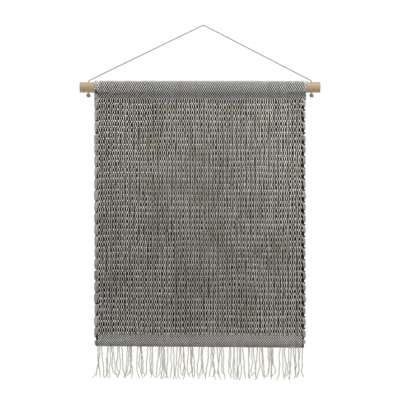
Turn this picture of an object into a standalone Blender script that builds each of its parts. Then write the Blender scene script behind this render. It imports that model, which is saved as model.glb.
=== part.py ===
# Woven wall hanging on a wooden dowel: a 50 x 70 cm cloth with a rod pocket and a fringe,
# hung from a nail by a cotton cord that is knotted through the dowel.
# Metres. +X along the dowel, +Y towards the wall, +Z up, origin where the nail holds the cord.
import math

import bmesh
import bpy
from mathutils import Vector

CLEARANCE = 0.0003

# Dowel and its cord holes
DOWEL_OVERHANG = 0.033
DOWEL_DIAMETER = 0.025
DOWEL_EDGE = 0.0006
DOWEL_SIDES = 72
DOWEL_SHIFT = -0.008
DOWEL_DROP = 0.1448
HOLE_DIAMETER = 0.004
HOLE_INSET = 0.020

# Cord and its stopper knots
CORD_DIAMETER = 0.0026
CORD_STEP = 0.0105
KNOT_WIDTH = 0.0086
KNOT_HEIGHT = 0.0100

# Cloth, from its top edge over the dowel to its hem
CLOTH_WIDTH = 0.500
LAYER_THICKNESS = 0.0035
POCKET_DEPTH = 0.0230
POCKET_STRIP = 0.0067
THREAD_DIAMETER = 0.0010
THREAD_MARGIN = 0.004
BODY_THICKNESS = 0.0064
SEGMENT_HEIGHT = 0.1847
SEGMENT_NAMES = ("upper", "middle", "lower")
SELVEDGE_WIDTH = 0.011
SELVEDGE_EDGE = 0.0018
HEM_THICKNESS = 0.0046
HEM_HEIGHT = 0.0275
HEM_EDGE = 0.0012

# Fringe of warp ends, in locks
FRINGE_LENGTH = 0.075
FRINGE_THICKNESS = 0.0032
FRINGE_LOCKS = 40
LOCK_GAP = 0.0008

ARC_POINTS = 28
ROUND_POINTS = 9

# Sizes and places that follow
DOWEL_LENGTH = CLOTH_WIDTH + 2 * DOWEL_OVERHANG
DOWEL_AXIS_Z = -DOWEL_DROP
CLOTH_X = DOWEL_SHIFT
POCKET_INNER_RADIUS = DOWEL_DIAMETER / 2 + CLEARANCE
SEAM_Z = DOWEL_AXIS_Z - POCKET_DEPTH
BODY_TOP_Z = SEAM_Z - POCKET_STRIP
FOLD_UPPER_Z = BODY_TOP_Z - SEGMENT_HEIGHT
FOLD_LOWER_Z = FOLD_UPPER_Z - SEGMENT_HEIGHT
HEM_TOP_Z = FOLD_LOWER_Z - SEGMENT_HEIGHT
HEM_BOTTOM_Z = HEM_TOP_Z - HEM_HEIGHT
FRINGE_AXIS_Z = HEM_BOTTOM_Z - CLEARANCE - FRINGE_THICKNESS / 2

# Route of the cord's centre line in the plane of the dowel: up through the left hole,
# over the nail, and down through the right hole. (x, z) in metres.
CORD_ROUTE = (
    (-0.2710, -0.1573),
    (-0.2710, -0.1500),
    (-0.2710, -0.1420),
    (-0.2710, -0.1360),
    (-0.2710, -0.1328),
    (-0.2707, -0.1310),
    (-0.2697, -0.1293),
    (-0.2680, -0.1279),
    (-0.2650, -0.1265),
    (-0.2150, -0.1022),
    (-0.1620, -0.0765),
    (-0.1091, -0.0508),
    (-0.0561, -0.0251),
    (-0.0060, -0.0008),
    (-0.0032, 0.0006),
    (0.0000, 0.0013),
    (0.0034, 0.0005),
    (0.0062, -0.0010),
    (0.0531, -0.0252),
    (0.1028, -0.0509),
    (0.1526, -0.0766),
    (0.2023, -0.1023),
    (0.2493, -0.1266),
    (0.2521, -0.1280),
    (0.2537, -0.1293),
    (0.2547, -0.1310),
    (0.2550, -0.1328),
    (0.2550, -0.1360),
    (0.2550, -0.1420),
    (0.2550, -0.1500),
    (0.2550, -0.1573),
)

FINISHES = {
    "pale_wood": ((0.42, 0.31, 0.19), 0.55),
    "cotton_cord": ((0.42, 0.40, 0.35), 0.90),
    "band_weave": ((0.24, 0.23, 0.21), 0.95),
    "body_weave": ((0.17, 0.16, 0.14), 0.95),
    "selvedge_yarn": ((0.33, 0.32, 0.30), 0.95),
    "sewing_thread": ((0.05, 0.05, 0.05), 0.70),
    "fringe_yarn": ((0.66, 0.63, 0.54), 0.95),
}


def clear_scene():
    for obj in list(bpy.data.objects):
        bpy.data.objects.remove(obj, do_unlink=True)


def new_collection(name):
    collection = bpy.data.collections.new(name)
    bpy.context.scene.collection.children.link(collection)
    return collection


def finish(name):
    """One Principled material for each finish, made the first time it is asked for."""
    material = bpy.data.materials.get(name)
    if material is None:
        colour, roughness = FINISHES[name]
        material = bpy.data.materials.new(name)
        material.use_nodes = True
        shader = material.node_tree.nodes["Principled BSDF"]
        shader.inputs["Base Color"].default_value = (*colour, 1.0)
        shader.inputs["Roughness"].default_value = roughness
        shader.inputs["Metallic"].default_value = 0.0
        material.diffuse_color = (*colour, 1.0)
    return material


def place(name, data, collection, finish_name, location=(0, 0, 0)):
    obj = bpy.data.objects.new(name, data)
    obj.location = location
    collection.objects.link(obj)
    data.materials.append(finish(finish_name))
    return obj


def smooth_round(obj):
    obj.data.shade_smooth()
    obj.data.set_sharp_from_angle(angle=math.radians(40))


def cylinder_mesh(name, radius, length, sides):
    mesh = bpy.data.meshes.new(name)
    bm = bmesh.new()
    bmesh.ops.create_cone(
        bm, cap_ends=True, segments=sides, radius1=radius, radius2=radius, depth=length
    )
    bm.to_mesh(mesh)
    bm.free()
    return mesh


def box_mesh(name, size):
    mesh = bpy.data.meshes.new(name)
    bm = bmesh.new()
    bmesh.ops.create_cube(bm, size=1.0)
    bmesh.ops.scale(bm, vec=size, verts=bm.verts)
    bm.to_mesh(mesh)
    bm.free()
    return mesh


def rounded_box(name, size, centre, edge, collection, finish_name):
    box = place(name, box_mesh(name, size), collection, finish_name, centre)
    bevel = box.modifiers.new("rounded_edges", "BEVEL")
    bevel.width = edge
    bevel.segments = 2
    return box


def poly_spline(curve, points, closed):
    spline = curve.splines.new("POLY")
    spline.points.add(len(points) - 1)
    for point, place_of_point in zip(spline.points, points):
        point.co = (*place_of_point, 1.0)
    spline.use_cyclic_u = closed


def extruded_profile(name, outlines, width, centre, collection, finish_name):
    """Outlines of (y, z) pairs, extruded along X; centre is where their (0, 0) lies."""
    curve = bpy.data.curves.new(name, "CURVE")
    curve.dimensions = "2D"
    curve.fill_mode = "BOTH"
    curve.extrude = width / 2
    for outline in outlines:
        poly_spline(curve, [(y, z, 0.0) for y, z in outline], True)
    obj = place(name, curve, collection, finish_name, centre)
    # The curve's own x, y and z lie along the part's Y, Z and X.
    obj.rotation_euler = (math.pi / 2, 0.0, math.pi / 2)
    return obj


def smooth_route(points, step):
    """Points on a smooth curve through the route, a step apart or less."""
    ends = [2 * points[0] - points[1], *points, 2 * points[-1] - points[-2]]
    found = [points[0]]
    for a, b, c, d in zip(ends, ends[1:], ends[2:], ends[3:]):
        lengths = [max((q - p).length, 1e-9) for p, q in ((a, b), (b, c), (c, d))]
        before, here, after = lengths
        slope_b = here * ((b - a) / before - (c - a) / (before + here) + (c - b) / here)
        slope_c = here * ((c - b) / here - (d - b) / (here + after) + (d - c) / after)
        count = max(1, math.ceil(here / step))
        for i in range(1, count + 1):
            t = i / count
            found.append(
                (2 * t**3 - 3 * t**2 + 1) * b
                + (t**3 - 2 * t**2 + t) * slope_b
                + (3 * t**2 - 2 * t**3) * c
                + (t**3 - t**2) * slope_c
            )
    return found


def make_dowel(parts, cutters):
    dowel_mesh = cylinder_mesh("dowel", DOWEL_DIAMETER / 2, DOWEL_LENGTH, DOWEL_SIDES)
    centre = (DOWEL_SHIFT, 0.0, DOWEL_AXIS_Z)
    dowel = place("dowel", dowel_mesh, parts, "pale_wood", centre)
    dowel.rotation_euler = (0.0, math.pi / 2, 0.0)
    edges = dowel.modifiers.new("eased_ends", "BEVEL")
    edges.width = DOWEL_EDGE
    edges.segments = 1
    edges.limit_method = "ANGLE"
    edges.angle_limit = math.radians(60)
    for side_name, x in hole_places():
        cutter_mesh = cylinder_mesh(
            "cord_hole", HOLE_DIAMETER / 2, 2 * DOWEL_DIAMETER, 24
        )
        cutter = bpy.data.objects.new(f"cord_hole_{side_name}", cutter_mesh)
        cutter.location = (x, 0.0, DOWEL_AXIS_Z)
        cutter.hide_render = True
        cutter.display_type = "WIRE"
        cutters.objects.link(cutter)
        cut = dowel.modifiers.new(f"cord_hole_{side_name}", "BOOLEAN")
        cut.operation = "DIFFERENCE"
        cut.object = cutter
    smooth_round(dowel)
    return dowel


def hole_places():
    reach = DOWEL_LENGTH / 2 - HOLE_INSET
    return ("left", DOWEL_SHIFT - reach), ("right", DOWEL_SHIFT + reach)


def make_cord(parts):
    curve = bpy.data.curves.new("hanging_cord", "CURVE")
    curve.dimensions = "3D"
    curve.bevel_depth = CORD_DIAMETER / 2
    curve.bevel_resolution = 2
    curve.use_fill_caps = True
    route = [Vector((x, 0.0, z)) for x, z in CORD_ROUTE]
    poly_spline(curve, smooth_route(route, CORD_STEP), False)
    return place("hanging_cord", curve, parts, "cotton_cord")


def make_knots(parts):
    top = DOWEL_AXIS_Z - DOWEL_DIAMETER / 2 - CLEARANCE
    for side_name, x in hole_places():
        mesh = bpy.data.meshes.new(f"knot_{side_name}")
        bm = bmesh.new()
        bmesh.ops.create_uvsphere(bm, u_segments=16, v_segments=10, radius=0.5)
        bmesh.ops.scale(
            bm, vec=(KNOT_WIDTH, KNOT_WIDTH, KNOT_HEIGHT), verts=bm.verts
        )
        bm.to_mesh(mesh)
        bm.free()
        centre = (x, 0.0, top - KNOT_HEIGHT / 2)
        knot = place(f"knot_{side_name}", mesh, parts, "cotton_cord", centre)
        knot.data.shade_smooth()


def sleeve_outline(radius, depth, strip):
    """Round the dowel over its top, then straight to the seam, whose layers meet at depth.
    A strip of two layers hangs below the seam on the outer outline."""
    thickness = radius - POCKET_INNER_RADIUS
    lean = math.asin(POCKET_INNER_RADIUS / depth)
    points = []
    for i in range(ARC_POINTS + 1):
        turn = -lean + (math.pi + 2 * lean) * i / ARC_POINTS
        points.append((radius * math.cos(turn), radius * math.sin(turn)))
    if thickness > 0:
        # Where the leaning layer meets the upright strip of the same thickness.
        corner = -depth + thickness * (math.sin(lean) - 1) / math.cos(lean)
        points.append((-thickness, corner))
        points.append((-thickness, -depth - strip))
        points.append((thickness, -depth - strip))
        points.append((thickness, corner))
    else:
        points.append((0.0, -depth))
    return points


def make_pocket(parts):
    outer = sleeve_outline(
        POCKET_INNER_RADIUS + LAYER_THICKNESS, POCKET_DEPTH, POCKET_STRIP
    )
    inner = sleeve_outline(POCKET_INNER_RADIUS, POCKET_DEPTH, 0.0)
    centre = (CLOTH_X, 0.0, DOWEL_AXIS_Z)
    pocket = extruded_profile(
        "rod_pocket", (outer, inner), CLOTH_WIDTH, centre, parts, "band_weave"
    )
    thread = bpy.data.curves.new("pocket_stitching", "CURVE")
    thread.dimensions = "3D"
    thread.bevel_depth = THREAD_DIAMETER / 2
    thread.bevel_resolution = 1
    thread.use_fill_caps = True
    reach = CLOTH_WIDTH / 2 - THREAD_MARGIN
    poly_spline(thread, [(-reach, 0.0, 0.0), (reach, 0.0, 0.0)], False)
    behind = LAYER_THICKNESS + CLEARANCE + THREAD_DIAMETER / 2
    place(
        "pocket_stitching",
        thread,
        parts,
        "sewing_thread",
        (CLOTH_X, behind, SEAM_Z - POCKET_STRIP / 2),
    )
    return pocket


def folding_profile(thickness, below):
    """An upright strip whose top is a half round about its fold line, at (0, 0)."""
    radius = thickness / 2
    points = []
    for i in range(ROUND_POINTS + 1):
        turn = math.pi * i / ROUND_POINTS
        points.append((radius * math.cos(turn), radius * math.sin(turn)))
    points.append((-radius, -below))
    points.append((radius, -below))
    return points


def body_spans():
    """Name, fold line or None, top and bottom of each length of the woven body."""
    lines = (None, FOLD_UPPER_Z, FOLD_LOWER_Z)
    bottoms = (
        FOLD_UPPER_Z + BODY_THICKNESS / 2 + CLEARANCE,
        FOLD_LOWER_Z + BODY_THICKNESS / 2 + CLEARANCE,
        HEM_TOP_Z + CLEARANCE,
    )
    return zip(SEGMENT_NAMES, lines, bottoms)


def strip_of_body(name, fold_z, bottom, x, width, edge, parts, finish_name):
    if fold_z is None:
        top = BODY_TOP_Z - CLEARANCE
        size = (width, BODY_THICKNESS, top - bottom)
        centre = (x, 0.0, (top + bottom) / 2)
        return rounded_box(name, size, centre, edge, parts, finish_name)
    profile = folding_profile(BODY_THICKNESS, fold_z - bottom)
    centre = (x, 0.0, fold_z)
    return extruded_profile(name, (profile,), width, centre, parts, finish_name)


def make_body(parts):
    middle_width = CLOTH_WIDTH - 2 * (SELVEDGE_WIDTH + CLEARANCE)
    beside = (CLOTH_WIDTH - SELVEDGE_WIDTH) / 2
    for segment, fold_z, bottom in body_spans():
        strip_of_body(
            f"panel_{segment}",
            fold_z,
            bottom,
            CLOTH_X,
            middle_width,
            HEM_EDGE,
            parts,
            "body_weave",
        )
        for side_name, x in (("left", CLOTH_X - beside), ("right", CLOTH_X + beside)):
            strip_of_body(
                f"selvedge_{side_name}_{segment}",
                fold_z,
                bottom,
                x,
                SELVEDGE_WIDTH,
                SELVEDGE_EDGE,
                parts,
                "selvedge_yarn",
            )


def make_hem(parts):
    rounded_box(
        "hem_band",
        (CLOTH_WIDTH, HEM_THICKNESS, HEM_HEIGHT),
        (CLOTH_X, 0.0, (HEM_TOP_Z + HEM_BOTTOM_Z) / 2),
        HEM_EDGE,
        parts,
        "band_weave",
    )


def make_fringe(parts):
    pitch = CLOTH_WIDTH / FRINGE_LOCKS
    profile = folding_profile(FRINGE_THICKNESS, FRINGE_LENGTH)
    for i in range(FRINGE_LOCKS):
        x = CLOTH_X - CLOTH_WIDTH / 2 + pitch * (i + 0.5)
        extruded_profile(
            f"fringe_{i + 1:02d}",
            (profile,),
            pitch - LOCK_GAP,
            (x, 0.0, FRINGE_AXIS_Z),
            parts,
            "fringe_yarn",
        )


def main():
    clear_scene()
    parts = new_collection("tapestry_wall_hanging")
    cutters = new_collection("cutters")
    make_dowel(parts, cutters)
    make_cord(parts)
    make_knots(parts)
    make_pocket(parts)
    make_body(parts)
    make_hem(parts)
    make_fringe(parts)


main()
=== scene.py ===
import math

import bmesh
import bpy
import numpy as np
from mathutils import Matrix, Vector


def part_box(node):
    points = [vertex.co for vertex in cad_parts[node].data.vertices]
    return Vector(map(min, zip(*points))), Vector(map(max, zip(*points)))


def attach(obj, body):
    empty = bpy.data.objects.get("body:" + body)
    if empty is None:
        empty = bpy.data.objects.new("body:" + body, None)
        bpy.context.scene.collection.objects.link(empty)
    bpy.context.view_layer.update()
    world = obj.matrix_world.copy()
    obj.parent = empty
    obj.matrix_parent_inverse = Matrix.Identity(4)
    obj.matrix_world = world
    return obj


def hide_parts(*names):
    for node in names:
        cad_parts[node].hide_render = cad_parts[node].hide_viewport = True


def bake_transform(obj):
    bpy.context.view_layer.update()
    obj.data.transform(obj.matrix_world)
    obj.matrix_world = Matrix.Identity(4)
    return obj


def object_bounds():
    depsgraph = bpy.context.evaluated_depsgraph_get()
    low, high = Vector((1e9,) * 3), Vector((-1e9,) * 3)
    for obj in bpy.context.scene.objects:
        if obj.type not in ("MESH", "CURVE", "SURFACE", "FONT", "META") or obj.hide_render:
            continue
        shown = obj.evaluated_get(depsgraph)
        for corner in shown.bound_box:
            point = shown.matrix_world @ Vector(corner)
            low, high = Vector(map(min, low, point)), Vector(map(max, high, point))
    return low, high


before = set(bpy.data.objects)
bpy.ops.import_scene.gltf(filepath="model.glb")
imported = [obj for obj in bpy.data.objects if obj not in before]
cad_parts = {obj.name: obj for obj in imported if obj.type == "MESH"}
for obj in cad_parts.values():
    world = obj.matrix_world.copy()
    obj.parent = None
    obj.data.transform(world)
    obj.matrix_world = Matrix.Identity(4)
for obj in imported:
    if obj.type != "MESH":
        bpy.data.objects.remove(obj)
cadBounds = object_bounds()
print("frame loaded:", len(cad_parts), "nodes")


# Places that the frame gives, in metres
def boxOf(node):
    return [Vector(corner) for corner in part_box(node)]


def addObject(name, data):
    made = bpy.data.objects.new(name, data)
    bpy.context.scene.collection.objects.link(made)
    return made


dowelLow, dowelHigh = boxOf("dowel")
pocketLow, pocketHigh = boxOf("rod_pocket")
hemLow, hemHigh = boxOf("hem_band")
stitchLow, stitchHigh = boxOf("pocket_stitching")
fringeLow, fringeHigh = boxOf("fringe_01")
halfBody = (boxOf("panel_upper")[1].y - boxOf("panel_upper")[0].y) / 2
dowelAxisZ = (dowelLow.z + dowelHigh.z) / 2
clothLeft = pocketLow.x
clothRight = pocketHigh.x
clothMiddle = (clothLeft + clothRight) / 2
bodyTop = pocketLow.z
foldUpper = boxOf("panel_middle")[1].z - halfBody
foldLower = boxOf("panel_lower")[1].z - halfBody
hemTop = hemHigh.z + 0.0001
hemBottom = hemLow.z
fringeBottom = fringeLow.z

studio = {
    "eyeDistance": 3.0,
    "eyeHeight": -0.4104,
    "viewWidth": 0.943,
    "sensor": 36.0,
    "floorBelow": 0.42,
    "floorHalf": 2.2,
    "skyStrength": 0.33,
    "lights": {  # power, size and place
        "keyLight": (86.0, 1.6, (0.22, -1.35, 1.95)),
        "fillLight": (6.0, 1.2, (1.7, -1.8, -0.2)),
        "backLight": (24.0, 1.6, (-0.6, 1.9, 0.7)),
    },
}


def makeCamera():
    data = bpy.data.cameras.new("frontCamera")
    data.sensor_width = studio["sensor"]
    data.lens = studio["sensor"] * studio["eyeDistance"] / studio["viewWidth"]
    data.clip_start = 0.05
    camera = addObject("frontCamera", data)
    camera.location = (clothMiddle, -studio["eyeDistance"], studio["eyeHeight"])
    camera.rotation_euler = (math.radians(90), 0.0, 0.0)
    bpy.context.scene.camera = camera


def makeLight(name, power, size, place):
    data = bpy.data.lights.new(name, "AREA")
    data.shape = "DISK"
    data.size = size
    data.energy = power
    light = addObject(name, data)
    light.location = place
    away = Vector((clothMiddle, 0.0, studio["eyeHeight"])) - light.location
    light.rotation_euler = away.to_track_quat("-Z", "Y").to_euler()


def makeWorld():
    world = bpy.data.worlds.new("paleStudio")
    world.use_nodes = True
    sky = world.node_tree
    background = sky.nodes["Background"]
    background.inputs["Color"].default_value = (1.0, 1.0, 1.0, 1.0)
    seen = sky.nodes.new("ShaderNodeLightPath")
    strength = sky.nodes.new("ShaderNodeMix")
    strength.inputs[2].default_value = studio["skyStrength"]
    strength.inputs[3].default_value = 1.0
    sky.links.new(seen.outputs["Is Camera Ray"], strength.inputs[0])
    sky.links.new(strength.outputs[0], background.inputs["Strength"])
    bpy.context.scene.world = world
    bpy.context.scene.view_settings.view_transform = "Standard"


def makeFloor():
    half = studio["floorHalf"]
    low = cadBounds[0][2] - studio["floorBelow"]
    corners = [(-half, -half), (half, -half), (half, half), (-half, half)]
    mesh = bpy.data.meshes.new("studioFloor")
    mesh.from_pydata([(x + clothMiddle, y, low) for x, y in corners], [], [(0, 1, 2, 3)])
    floor = addObject("studioFloor", mesh)
    paint = bpy.data.materials.new("paleFloor")
    paint.use_nodes = True
    shader = paint.node_tree.nodes["Principled BSDF"]
    shader.inputs["Base Color"].default_value = (0.86, 0.86, 0.85, 1.0)
    shader.inputs["Roughness"].default_value = 0.9
    mesh.materials.append(paint)


makeCamera()
for lightName, (lightPower, lightSize, lightPlace) in studio["lights"].items():
    makeLight(lightName, lightPower, lightSize, lightPlace)
makeWorld()
makeFloor()
print("camera, light and floor made")


# Small helpers for node trees
def addNode(tree, kind, inputs=None, **settings):
    made = tree.nodes.new(kind)
    for key, value in settings.items():
        setattr(made, key, value)
    for key, value in (inputs or {}).items():
        if isinstance(value, bpy.types.NodeSocket):
            tree.links.new(value, made.inputs[key])
        else:
            made.inputs[key].default_value = value
    return made


def calc(tree, operation, *terms):
    return addNode(tree, "ShaderNodeMath", dict(enumerate(terms)), operation=operation).outputs[0]


def chain(tree, operation, terms):
    result = terms[0]
    for term in terms[1:]:
        result = calc(tree, operation, result, term)
    return result


def times(tree, *terms):
    return chain(tree, "MULTIPLY", terms)


def plus(tree, *terms):
    return chain(tree, "ADD", terms)


def minus(tree, *terms):
    return chain(tree, "SUBTRACT", terms)


def over(tree, *terms):
    return chain(tree, "DIVIDE", terms)


def calcVector(tree, operation, *terms):
    made = addNode(tree, "ShaderNodeVectorMath", dict(enumerate(terms)), operation=operation)
    return made.outputs["Vector"]


def scaled(tree, vector, by):
    return addNode(tree, "ShaderNodeVectorMath", {0: vector, "Scale": by}, operation="SCALE").outputs[0]


def joinXyz(tree, x, y, z):
    return addNode(tree, "ShaderNodeCombineXYZ", {"X": x, "Y": y, "Z": z}).outputs[0]


def splitXyz(tree, vector):
    return addNode(tree, "ShaderNodeSeparateXYZ", {0: vector}).outputs


def noise(tree, vector, scale, detail=1.0):
    made = addNode(tree, "ShaderNodeTexNoise", {"Vector": vector, "Scale": scale, "Detail": detail})
    return made.outputs["Fac"]


def about(tree, value, *amounts):
    # A value of 0 to 1 turned into one about zero
    return times(tree, minus(tree, value, 0.5), *amounts)


def swing(tree, vector, scale, amount, detail=1.0):
    # Noise about zero, from minus to plus the amount
    return about(tree, noise(tree, vector, scale, detail), 2.4, amount)


def geo(tree, kind, inputs=None, **settings):
    return addNode(tree, "GeometryNode" + kind, inputs, **settings).outputs[0]


def placeOf(tree):
    return geo(tree, "InputPosition")


def lengthAlong(tree):
    return addNode(tree, "GeometryNodeSplineParameter").outputs["Length"]


def rowDrift(tree, x, z, amount):
    # Rows don't lie level: they rise and fall slowly over the cloth
    return swing(tree, joinXyz(tree, x, 0.0, z), 8.0, amount)


def randomOf(tree, number, seed):
    made = addNode(tree, "FunctionNodeRandomValue", {"ID": number, "Seed": seed}, data_type="FLOAT")
    return made.outputs["Value"] if made.outputs["Value"].enabled else made.outputs[1]


def newTree(name, *wanted):
    tree = bpy.data.node_groups.new(name, "GeometryNodeTree")
    # Every tree takes the path that its yarns follow, and the yarn's own size, finish and seed
    common = (
        ("Path", "Geometry"), ("Sides", "Int"), ("Finish", "Material"), ("Seed", "Int"), "Width", "Depth",
    )
    for entry in (*common, *wanted):
        label, kind = (entry, "Float") if isinstance(entry, str) else entry
        tree.interface.new_socket(label, in_out="INPUT", socket_type="NodeSocket" + kind)
    tree.interface.new_socket("Yarns", in_out="OUTPUT", socket_type="NodeSocketGeometry")
    given = addNode(tree, "NodeGroupInput").outputs
    path = geo(tree, "MeshToCurve", {0: given["Path"]})
    return tree, given, path


def keep(tree, geometry, **values):
    # Captures values on the points, and gives the geometry and the kept values back
    held = addNode(tree, "GeometryNodeCaptureAttribute", {0: geometry})
    for label, value in values.items():
        held.capture_items.new("VECTOR" if value.type == "VECTOR" else "FLOAT", label)
        tree.links.new(value, held.inputs[label])
    return [held.outputs[0]] + [held.outputs[label] for label in values]


def yarnOnEach(tree, points, yarn):
    laid = geo(tree, "InstanceOnPoints", {"Points": points, "Instance": yarn})
    return geo(tree, "RealizeInstances", {0: laid})


def acrossCloth(tree, given, count):
    # A point for each yarn, a pitch apart
    return geo(tree, "MeshLine", {
        "Count": count, "Start Location": joinXyz(tree, given["Left"], 0.0, 0.0),
        "Offset": joinXyz(tree, given["Pitch"], 0.0, 0.0),
    })


def downPath(tree, given, path, count, edge):
    # A point for each pick along the path, its direction there and its number
    number = geo(tree, "InputIndex")
    reach = calc(tree, "MULTIPLY_ADD", number, given["Step"], given["First"])
    found = addNode(tree, "GeometryNodeSampleCurve", {"Curves": path, "Length": reach}, mode="LENGTH").outputs
    place = calcVector(tree, "ADD", found["Position"], joinXyz(tree, edge, 0.0, 0.0))
    starts = geo(tree, "MeshLine", {"Count": count})
    starts = geo(tree, "SetPosition", {"Geometry": starts, "Position": place})
    return keep(tree, starts, Direction=found["Tangent"], Pick=number)


def placed(tree, yarn, direction, **where):
    # Moves the yarn's points and turns its outline to face out of the cloth
    facing = calcVector(tree, "CROSS_PRODUCT", direction, (1.0, 0.0, 0.0))
    yarn = geo(tree, "SetPosition", {"Geometry": yarn, **where})
    return geo(tree, "SetCurveNormal", {"Curve": yarn, "Normal": facing}, mode="FREE")


def sweepYarn(tree, given, curve, along, tone, thickness, lobes=0):
    # Sweeps a round or lobed profile and writes what the yarn materials read
    ring = geo(tree, "CurvePrimitiveCircle", {"Resolution": given["Sides"], "Radius": 0.5})
    turn = addNode(tree, "GeometryNodeSplineParameter").outputs["Factor"]
    outline, angle = keep(tree, ring, Angle=times(tree, turn, 2 * math.pi))
    if lobes:
        bulge = calc(tree, "COSINE", times(tree, angle, float(lobes)))
        size = calc(tree, "MULTIPLY_ADD", bulge, given["Lobe"], minus(tree, 1.0, given["Lobe"]))
        lobed = scaled(tree, placeOf(tree), size)
        outline = geo(tree, "SetPosition", {"Geometry": outline, "Position": lobed})
    shape = joinXyz(tree, given["Depth"], given["Width"], 1.0)
    outline = geo(tree, "Transform", {"Geometry": outline, "Scale": shape})
    made = geo(tree, "CurveToMesh", {
        "Curve": curve, "Profile Curve": outline, "Fill Caps": True, "Scale": thickness,
    })
    lay = joinXyz(tree, calc(tree, "COSINE", angle), calc(tree, "SINE", angle), along)
    for name, value, kind in (("lay", lay, "FLOAT_VECTOR"), ("tone", tone, "FLOAT")):
        kept = {"Geometry": made, "Name": name, "Value": value}
        made = geo(tree, "StoreNamedAttribute", kept, data_type=kind)
    made = geo(tree, "SetShadeSmooth", {"Geometry": made})
    made = geo(tree, "RealizeInstances", {"Geometry": made})
    made = geo(tree, "SetMaterial", {"Geometry": made, "Material": given["Finish"]})
    addNode(tree, "NodeGroupOutput", {0: made})
    return tree


# Warps: a path is laid once for each warp, and crosses from the front to the back of the picks
def warpTree():
    tree, given, path = newTree(
        "warpsLaidIn", ("Warps", "Int"), ("Points", "Int"), "Left", "Pitch", "Row", "RowStart", "Plateau",
        "Bias", "Crossing", "Gather", "Wander", "Drift", "Roam", "Jitter", "Knob", "Slub",
    )
    gather = given["Gather"]
    path = geo(tree, "ResampleCurve", {"Curve": path, "Count": given["Points"]})
    path, along, direction = keep(tree, path, Along=lengthAlong(tree), Direction=geo(tree, "InputTangent"))
    laid = yarnOnEach(tree, acrossCloth(tree, given, given["Warps"]), path)
    x = splitXyz(tree, placeOf(tree))[0]
    column = calc(tree, "ROUND", over(tree, minus(tree, x, given["Left"]), given["Pitch"]))
    laid, here, column = keep(tree, laid, Here=placeOf(tree), Column=column)
    x, y, z = splitXyz(tree, here)
    ownX = times(tree, column, 3.71)
    own = joinXyz(tree, ownX, times(tree, y, 90.0), times(tree, z, 90.0))
    lane = joinXyz(tree, ownX, 0.3, times(tree, z, 26.0))

    # Where each warp is in its round of front and back, with uneven beating
    beside = joinXyz(tree, times(tree, column, 0.9), 0.0, times(tree, z, 60.0))
    uneven = swing(tree, beside, 0.8, times(tree, given["Drift"], 0.12))
    begun = plus(tree, along, given["RowStart"], rowDrift(tree, x, z, given["Drift"]), uneven)
    beat = calc(tree, "COSINE", times(tree, over(tree, begun, given["Row"]), 2 * math.pi))
    wave = calc(tree, "TANH", times(tree, plus(tree, beat, given["Bias"]), given["Plateau"]))
    side = minus(tree, 1.0, times(tree, calc(tree, "MODULO", column, 2.0), 2.0))
    front = times(tree, side, wave)

    # Two neighbours draw together over the warp between them at the thin pick, and part at the thick one
    inFour = calc(tree, "MODULO", column, 4.0)
    fourth = calc(tree, "GREATER_THAN", inFour, 2.5)
    inward = times(tree, minus(tree, inFour, 1.0), minus(tree, 1.0, fourth))
    pull = plus(tree, gather, swing(tree, here, 38.0, times(tree, gather, 0.8), 2.0))
    atThin = calc(tree, "POWER", calc(tree, "MULTIPLY_ADD", beat, -0.5, 0.5), 2.0)
    covered = calc(tree, "MINIMUM", plus(tree, swing(tree, here, 55.0, 1.2, 2.0), 0.40), 1.4)
    fourth = times(tree, fourth, covered)
    closing = times(tree, pull, calc(tree, "MULTIPLY_ADD", atThin, 1.2, -0.2))
    together = times(tree, times(tree, inward, given["Pitch"]), times(tree, closing, -1.0))
    drift = plus(
        tree, swing(tree, here, 16.0, given["Wander"], 2.0), swing(tree, lane, 1.3, given["Roam"]),
        swing(tree, own, 1.3, given["Jitter"]),
    )
    sideways = joinXyz(tree, plus(tree, together, drift), 0.0, 0.0)

    # The warp swells into a knob where it rides over the thin pick
    knob = times(tree, calc(tree, "MAXIMUM", front, 0.0), times(tree, atThin, given["Knob"]))
    knob = times(tree, knob, minus(tree, 1.0, fourth))
    depth = times(tree, calc(tree, "MULTIPLY_ADD", knob, 0.4, front), given["Crossing"])
    depth = plus(tree, depth, swing(tree, own, 2.1, times(tree, given["Crossing"], 0.16)))
    facing = calcVector(tree, "CROSS_PRODUCT", direction, (1.0, 0.0, 0.0))
    offset = calcVector(tree, "ADD", scaled(tree, facing, depth), sideways)
    laid = placed(tree, laid, direction, Offset=offset)
    slubs = plus(tree, 1.0, swing(tree, own, 1.7, given["Slub"], 2.0))
    slubs = times(tree, slubs, plus(tree, 1.0, knob), minus(tree, 1.0, times(tree, fourth, gather)))
    tone = times(tree, randomOf(tree, column, given["Seed"]), 0.7)
    # Painted light in the tone: painted shade makes the covered fourth warps darker, and a painted highlight makes
    # the knobs lighter
    tone = minus(tree, plus(tree, tone, times(tree, fourth, gather)), knob)
    return sweepYarn(tree, given, laid, along, tone, slubs)


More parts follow.
